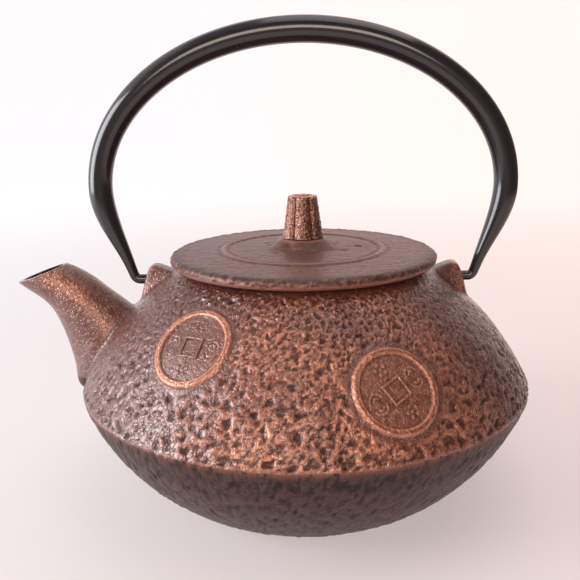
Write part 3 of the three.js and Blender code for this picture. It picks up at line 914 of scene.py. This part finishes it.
def coin_solid(coin):
    """A coin relief as a lens that sinks into the shoulder at its edge."""
    place, across, uphill, normal = (np.array(part) for part in coin_frame(coin))
    turn = radians(coin["turn"])
    sides, steps = (170, 56) if FINE else (90, 30)
    sunk = -2.2
    reaches = np.linspace(0, COIN_RADIUS + 1.2, steps + 1)[1:]
    angles = full_turn(sides)
    u = np.outer(reaches, np.cos(angles)).ravel()
    v = np.outer(reaches, np.sin(angles)).ravel()
    local_u = u * cos(turn) + v * sin(turn)
    local_v = v * cos(turn) - u * sin(turn)

    def settle(u, v, height):
        points = place + np.outer(u, across) + np.outer(v, uphill)
        for _ in range(4):
            points = points + np.outer(height - shoulder_height(points), normal)
        return points

    height = coin_height(local_u, local_v)
    top = settle(u, v, height)
    top += np.outer(0.045 * fine_noise(top, 1.1), normal)
    edge = settle(u[-sides:], v[-sides:], np.full(sides, sunk))
    middle = np.zeros(1)
    crown = settle(middle, middle, coin_height(middle, middle))[0]
    foot = settle(middle, middle, np.full(1, sunk))[0]
    return skin("coin", [*top.reshape(steps, sides, 3), edge], crown, foot)


def rubbing_and_painted_light(points):
    """How far the dark finish is rubbed through to copper, from 0 to 1, by place, with more copper round the
    front and the back as painted warm light.
    """
    x, y, z = points.T
    # Painted warm light: copper stronger on the sides facing the front, a little to the right, and the back,
    # on top of real rubbed wear.
    front_rub_and_light = facing(points, 10, 34)
    cloud = fine_noise(points, 22, 3)
    upper = smoothstep(RIDGE[1] + 0.3, RIDGE[1] + 1.6, z)
    rub_and_light = upper * np.clip(0.06 + front_rub_and_light * (0.72 + 0.5 * cloud - 0.2 * smoothstep(62, 84, z)), 0.03, 1)
    rub_and_light += 0.35 * (0.4 + 0.6 * front_rub_and_light) * np.exp(-((z - RIDGE[1] - 0.3) / 0.5) ** 2)
    inner = COIN_RADIUS - COIN_RING_WIDTH
    for coin in COINS:
        away = coin_distance(points, coin)
        ring = smoothstep(inner - 0.3, inner + 0.3, away)
        ring *= 1 - smoothstep(COIN_RADIUS - 0.2, COIN_RADIUS + 0.5, away)
        rub_and_light = np.maximum(rub_and_light * smoothstep(COIN_RADIUS - 1, COIN_RADIUS + 4, away), 1.15 * ring)
        rub_and_light = np.where(away < inner, 0.15 + 0.45 * front_rub_and_light, rub_and_light)
    upper_edge = np.array([curve_through(SPOUT_UPPER, t) for t in np.linspace(0, 1, 60)])
    below = np.sqrt(((points[:, None, [0, 2]] - upper_edge) ** 2).sum(axis=2)).min(axis=1)
    root = smoothstep(-84, -70, x)
    flank = np.exp(-((below - 6 - 4.5 * root) / 3.2) ** 2) * (1 - 0.4 * root)
    on_spout = (x < -60) & (shoulder_height(points) > 1.4)
    rub_and_light = np.where(on_spout, 0.15 + 0.85 * flank, rub_and_light)
    lug_edge = 62 - 0.244 * (z - 72.3)
    lug = smoothstep(lug_edge - 4.2, lug_edge - 1.8, np.abs(x)) * (np.abs(y) < LUG_FOOT_HALF_WIDTH + 1)
    return np.maximum(rub_and_light, np.where(x > 0, 1.1, 0.4) * lug * smoothstep(71, 74, z) * (x > -64))


def soften_joins(pot):
    """Rounds the cast corners where the spout and the lugs grow out of the shoulder."""
    mesh = pot.data
    bm = bmesh.new()
    bm.from_mesh(mesh)
    seam = []
    for edge in bm.edges:
        middle = (edge.verts[0].co + edge.verts[1].co) / 2 / MM
        reach = hypot(middle.x, middle.y)
        near_spout = middle.x < -64 and abs(middle.y) < 17 and reach > 66
        near_lug = abs(middle.y) < 11 and 47 < abs(middle.x) < 64 and middle.z > 69
        if (near_spout or near_lug) and edge.is_manifold and edge.calc_face_angle() > radians(17):
            seam.append(tuple(middle))
    bm.free()
    seam = np.array(seam)
    points = points_of(mesh)
    zone = (np.abs(points[:, 1]) < 22) & (np.abs(points[:, 0]) > 42) & (points[:, 2] > 26)
    amount = np.zeros(len(points))
    for i in np.flatnonzero(zone):
        gap = np.min(np.abs(seam - points[i]).max(axis=1))
        amount[i] = max(0, 1 - gap / 3.2)
    relax(pot, 0.6 * amount, 26)


def make_pot(iron, enamel):
    pot = body_blank()
    pot.data.materials.append(iron)
    pieces = [spout_casting(), lug_block(-1), lug_block(1)]
    pieces += [coin_solid(coin) for coin in COINS]
    for piece in pieces:
        combine(pot, piece, "UNION", iron)
    soften_joins(pot)
    channel = skin("channel", spout_rings(oval_section, SPOUT_WALL - 0.8, 6, 3, 28, 48))
    for hollow in (body_cavity(), channel):
        combine(pot, hollow, "DIFFERENCE", enamel)
    for side in (-1, 1):
        start, end = side * (PIN_END_X - GAP), side * (PIN_END_X + 12)
        hole = rod("hole", PIN_RADIUS + GAP, (start, 0, PIVOT_Z), (end, 0, PIVOT_Z))
        combine(pot, hole, "DIFFERENCE", iron)
    mark_relief(pot, 6)
    # Stores the copper rubbing, with painted warm light as more copper round the front and back.
    mark(pot, "rubbed_and_lit", rubbing_and_painted_light(points_of(pot.data)))
    smooth_shading(pot)
    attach(pot, "pot")
    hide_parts("pot_body")


# --- Lid and knob ---

def lid_profile():
    """Outlines of the lid: from its axis out along the underside, and up its rounded edge to the top."""
    radius = LID_HIGH.y
    under = LIP_Z + GAP
    inner = 27.6
    outer = LID_RING_RADIUS
    outline = [(2.3, 88.6), (7, 88.6), (18, 87.5), (inner, under + 0.6), (inner, LID_LOW.z + 0.3)]
    outline += [(inner + 0.3, LID_LOW.z), (outer - 0.3, LID_LOW.z), (outer, LID_LOW.z + 0.3), (outer, under)]
    outline += [(r, under) for r in np.linspace(outer + 2, radius - 1.8, 6)]
    edge = [(radius - 0.9, under + 0.2), (radius - 0.35, under + 0.7), (radius - 0.08, under + 1.3)]
    edge += [(radius, under + 1.9), (radius - 0.04, LID_EDGE_Z - 1.4), (radius - 0.3, LID_EDGE_Z - 0.85)]
    edge += [(radius - 0.8, LID_EDGE_Z - 0.4), (radius - 1.4, LID_EDGE_Z - 0.12), (radius - 2.1, LID_EDGE_Z)]
    return outline, edge


def petal_share(x, y):
    """1 in the middle of each of the knob's lobes, one of which faces -Y, and 0 between two lobes."""
    return np.abs(np.cos(KNOB_LOBES / 2 * (np.arctan2(y, x) + pi / 2)))


def lid_top_height(x, y):
    """Height of the lid's smooth top: a low dome with a bead, and a petalled swelling under the knob."""
    reach = np.hypot(x, y)
    dome = LID_EDGE_Z + 1.2 * (1 - smoothstep(18, 50, reach)) + 0.5 * (1 - smoothstep(8, 22, reach))
    bead = 0.5 * np.exp(-((reach - LID_RING_RADIUS) / 0.9) ** 2)
    groove = -0.25 * np.exp(-((reach - LID_RING_RADIUS + 1.9) / 0.8) ** 2)
    groove -= 0.14 * np.exp(-((reach - LID_RING_RADIUS - 1.9) / 0.8) ** 2)
    spread = 12.5 + 3.6 * petal_share(x, y) ** 1.5
    fall = np.clip((spread - reach) / (spread - LID_PAD_RADIUS), 0, 1)
    swelling = (LID_HIGH.z - LID_EDGE_Z - 1.7) * fall ** 1.7
    height = dome + bead + groove + swelling
    for place in ((-13.5, 7.2), (12.6, 9.3), (-10, -12.4), (15, -8)):
        height = height - 0.5 * np.exp(-((x - place[0]) / 2.1) ** 2 - ((y - place[1]) / 1.2) ** 2)
    return height


def darken_lid_edge(lid):
    """The rounded edge stands proud all along, but only its highest grains are worn."""
    x, y, z = points_of(lid.data).T
    edge = smoothstep(46.5, 49, np.hypot(x, y))
    change_relief(lid, 1 + 0.3 * edge, -0.14 * edge)


def make_lid(iron):
    outline, edge = lid_profile()
    steps = 520 if FINE else 200
    reaches = np.linspace(LID_HIGH.y - 2.5, 2.3, 96 if FINE else 40)
    profile = outline + edge + [(r, LID_EDGE_Z) for r in reaches]
    rings = revolve_rings(profile, steps)
    top = rings[len(outline + edge):]
    top[..., 2] = lid_top_height(top[..., 0], top[..., 1])
    normals = revolve_normals(profile, steps)
    first = len(outline) + 1
    points = rings[first:].reshape(-1, 3)
    x, y, z = points.T
    flat = smoothstep(LID_EDGE_Z - 0.3, LID_EDGE_Z + 0.05, z) * (1 - smoothstep(46.8, 48.6, np.hypot(x, y)))
    grain = np.column_stack([x * 0.22, y, z])
    streaks = 0.06 * fine_noise(grain, 1.3) + 0.1 * fine_noise(grain + 20, 3.2, 2)
    streaks += 0.09 * chips(points, 2.2)
    sand = 0.22 * chips(points, 1.6) + 0.12 * fine_noise(points, 0.8) + 0.14 * fine_noise(points, 3.5, 2)
    calm = 0.25 + 0.75 * smoothstep(8.3, 11, np.hypot(x, y))
    height = (flat * streaks + (1 - flat) * sand) * calm * smoothstep(0, 1.2, z - LIP_Z - GAP)
    raised = points + normals[first:].reshape(-1, 3) * height[:, None]
    rings[first:] = raised.reshape(-1, steps, 3)
    lid = skin("lid_plate", rings, closed=True)
    lid.data.materials.append(iron)
    vent = rod("vent", VENT_RADIUS, (VENT_X, 0, LID_LOW.z - 1), (VENT_X, 0, LID_HIGH.z + 1))
    combine(lid, vent, "DIFFERENCE", iron)
    mark_relief(lid)
    darken_lid_edge(lid)
    smooth_shading(lid)
    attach(lid, "lid")
    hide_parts("lid")


def knob_rings():
    """Rounded petals with grooves between them, narrowing to a flat top with a small raised middle.

    A level is a share of the height, a share of the radius and the depth of the grooves from 1 to 0.
    """
    foot_z = KNOB_LOW.z
    height = KNOB_HIGH.z - 0.6 - foot_z
    radius = 7.9
    groove = 0.22
    sides = 260 if FINE else 120

    def flank(t):
        return 1 - 0.26 * t - 0.03 * t * t + 0.05 * max(0, 1 - t / 0.2) ** 2

    levels = [(t, flank(t), 1) for t in np.linspace(0, 0.9, 70)]
    levels += [(0.93, 0.735, 1), (0.955, 0.715, 0.95), (0.975, 0.685, 0.85), (0.99, 0.64, 0.7)]
    levels += [(1.0, 0.57, 0.5), (1.0, 0.48, 0.3), (0.985, 0.4, 0.15), (0.98, 0.34, 0)]
    levels += [(0.99, 0.29, 0), (1.02, 0.24, 0), (1.035, 0.12, 0)]
    angles = full_turn(sides)
    petal = petal_share(np.cos(angles), np.sin(angles)) ** 0.45
    rings = []
    for rise, width, depth in levels:
        reach = radius * width * (1 - groove * depth * (1 - petal))
        z = np.full(sides, foot_z + height * rise)
        rings.append(np.column_stack([reach * np.cos(angles), reach * np.sin(angles), z]))
    return np.array(rings)


def make_knob(copper):
    rings = knob_rings()
    outward = rings.copy()
    outward[..., 2] = 0
    outward /= np.linalg.norm(outward, axis=2, keepdims=True)
    points = rings.reshape(-1, 3)
    stipple = 0.2 * chips(points, 1.1) + 0.16 * fine_noise(points, 0.8)
    rings = rings + outward * stipple.reshape(rings.shape[:2] + (1,))
    top = (0, 0, rings[-1, 0, 2])
    knob = skin("lid_knob_cast", rings, (0, 0, KNOB_LOW.z), top)
    knob.data.materials.append(copper)
    hole = rod("hole", SCREW_HOLE_RADIUS, (0, 0, KNOB_LOW.z - 1), (0, 0, SCREW_HOLE_TOP))
    combine(knob, hole, "DIFFERENCE", copper)
    mark_relief(knob, 5)
    change_relief(knob, smoothstep(0.4, 2, points_of(knob.data)[:, 2] - KNOB_LOW.z))
    smooth_shading(knob)
    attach(knob, "lid")
    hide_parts("lid_knob")


# --- Bail ---

def bail_path():
    """Half of the bail's centre line in the XZ plane, from the pin's end up to the middle of the arch."""
    path = bezier([(PIN_END_X, PIVOT_Z), (62.7, PIVOT_Z)], 9)
    path += bezier([(62.7, PIVOT_Z), (64.4, PIVOT_Z), (65.1, 81.4)], 14)
    path += bezier([(65.1, 81.4), (66.3, 84.8)], 5)
    flank = [(66.3, 84.8), (69.3, 94), (BAIL_HALF_WIDTH, 104), (BAIL_HALF_WIDTH, BAIL_ARCH_Z)]
    path += bezier(flank, 40)
    for angle in np.linspace(0, pi / 2, 80):
        z = BAIL_ARCH_Z + (BAIL_TOP - BAIL_ARCH_Z) * sin(angle)
        path.append(Vector((BAIL_HALF_WIDTH * cos(angle), z)))
    return path


def make_bail(paint):
    half = bail_path()
    path = half + [Vector((-p.x, p.y)) for p in half[-2::-1]]
    angles = full_turn(40)
    rings = []
    for i, point in enumerate(path):
        along = (path[min(i + 1, len(path) - 1)] - path[max(i - 1, 0)]).normalized()
        taper = float(smoothstep(80, 112, point.y))
        swell = float(smoothstep(BAIL_ARCH_Z, BAIL_TOP, point.y))
        radius = PIN_RADIUS + (BAIL_RADIUS - PIN_RADIUS) * taper + 0.35 * swell
        across = radius * np.cos(angles)
        x, z = point.x + along.y * across, point.y - along.x * across
        rings.append(np.column_stack([x, radius * np.sin(angles), z]))
    bail = skin("bail_bar", rings)
    bail.data.materials.append(paint)
    smooth_shading(bail)
    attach(bail, "bail")
    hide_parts("bail_handle")


# --- Infuser ---

def perforate(piece, places):
    """Drills a hole at each (point, direction)."""
    sides = 8
    reach = 1.5
    drill = [list(range(sides))[::-1], list(range(sides, 2 * sides)), *ring_faces(2, sides)]
    points, faces = [], []
    for centre, direction in places:
        turn = Vector(direction).to_track_quat("Z", "Y").to_matrix()
        faces += [[len(points) + corner for corner in face] for face in drill]
        for end in (-reach, reach):
            for a in full_turn(sides):
                across = Vector((HOLE_RADIUS * cos(a), HOLE_RADIUS * sin(a), end))
                points.append(Vector(centre) + turn @ across)
    combine(piece, make_object("drills", points, faces), "DIFFERENCE", piece.data.materials[0])


def make_sleeve(steel):
    outer, thickness = SLEEVE_HIGH.x, 0.5
    low, high = SLEEVE_LOW.z, SLEEVE_HIGH.z
    profile = [(outer - thickness, low), (outer, low), (outer, high), (outer - thickness, high)]
    sleeve = turned("infuser_wall", profile, 192)
    sleeve.data.materials.append(steel)
    columns = int(2 * pi * outer / HOLE_PITCH)
    places = []
    bottom, top = RING_HIGH.z + 1.6, RIM_LOW.z - 1.6
    rows = int((top - bottom) / (HOLE_PITCH * 0.87)) + 1
    for row in range(rows):
        z = bottom + (top - bottom) * row / (rows - 1)
        for column in range(columns):
            a = 2 * pi * (column + 0.5 * (row % 2)) / columns
            out = Vector((cos(a), sin(a), 0))
            places.append((out * outer + Vector((0, 0, z)), out))
    if FINE:
        perforate(sleeve, places)
    smooth_shading(sleeve, 30)
    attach(sleeve, "infuser")
    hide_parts("infuser_sleeve")


def make_infuser_floor(steel):
    radius, low, high = FLOOR_HIGH.x, FLOOR_LOW.z, FLOOR_HIGH.z
    disc = turned("infuser_floor_disc", [(0, low), (radius, low), (radius, high), (0, high)], 96)
    disc.data.materials.append(steel)
    places = []
    for ring in range(1, 9):
        count = 6 * ring
        for i in range(count):
            a = 2 * pi * i / count
            reach = HOLE_PITCH * ring
            places.append((Vector((reach * cos(a), reach * sin(a), low)), (0, 0, 1)))
    perforate(disc, places)
    smooth_shading(disc, 30)
    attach(disc, "infuser")
    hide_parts("infuser_floor")


def make_infuser_rings(steel):
    """The stamped flange at the top, with a rolled edge and a drawn shoulder, and the ring at the bottom."""
    collar_in, flange_z = SLEEVE_HIGH.x + GAP, LEDGE_Z + GAP
    out, edge = collar_in + SHEET, RIM_HIGH.x
    top = RIM_HIGH.z
    rim = [(collar_in, RIM_LOW.z), (out - 0.2, RIM_LOW.z), (out, RIM_LOW.z + 0.2), (out, flange_z - 0.5)]
    rim += [(out + 0.2, flange_z - 0.15), (out + 0.6, flange_z), (edge - 0.4, flange_z)]
    rim += [(edge, flange_z + 0.2), (edge, top - 0.2), (edge - 0.4, top)]
    rim += [(collar_in + 1.5, top), (collar_in + 0.5, top - 0.15), (collar_in, top - 0.7)]
    low, high = RING_LOW.z, RING_HIGH.z
    lip = SLEEVE_HIGH.x - 0.5 - 4.5
    ring = [(lip, low + 0.2), (lip + 0.3, low), (out - 0.9, low), (out - 0.25, low + 0.25), (out, low + 0.9)]
    ring += [(out, high - 0.2), (out - 0.2, high), (collar_in, high)]
    ring += [(collar_in, low + SHEET), (lip, low + SHEET)]
    pieces = (("infuser_flange", rim, "infuser_rim"), ("infuser_base_ring", ring, "infuser_floor_ring"))
    for name, outline, node in pieces:
        piece = turned(name, outline, 160)
        piece.data.materials.append(steel)
        smooth_shading(piece, 40)
        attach(piece, "infuser")
        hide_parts(node)


# --- Everything together ---

make_camera()
make_lights()
make_stage(floor_material())

body_iron = iron_material()
knob_copper = knob_material()
sheet_steel = steel_material("satin_steel", (0.62, 0.62, 0.63), 0.26, True)
mesh_steel = steel_material("perforated_steel", (0.55, 0.55, 0.56), 0.34, False)
zinc = steel_material("zinc_steel", (0.48, 0.48, 0.49), 0.32, False)

make_pot(body_iron, enamel_material())
make_lid(lid_material())
make_knob(knob_copper)
make_bail(paint_material())
make_sleeve(mesh_steel)
make_infuser_floor(mesh_steel)
make_infuser_rings(sheet_steel)

for node in ("knob_screw", "knob_washer"):
    shown = frame["nodes"][node]
    shown.data.materials.clear()
    shown.data.materials.append(zinc)
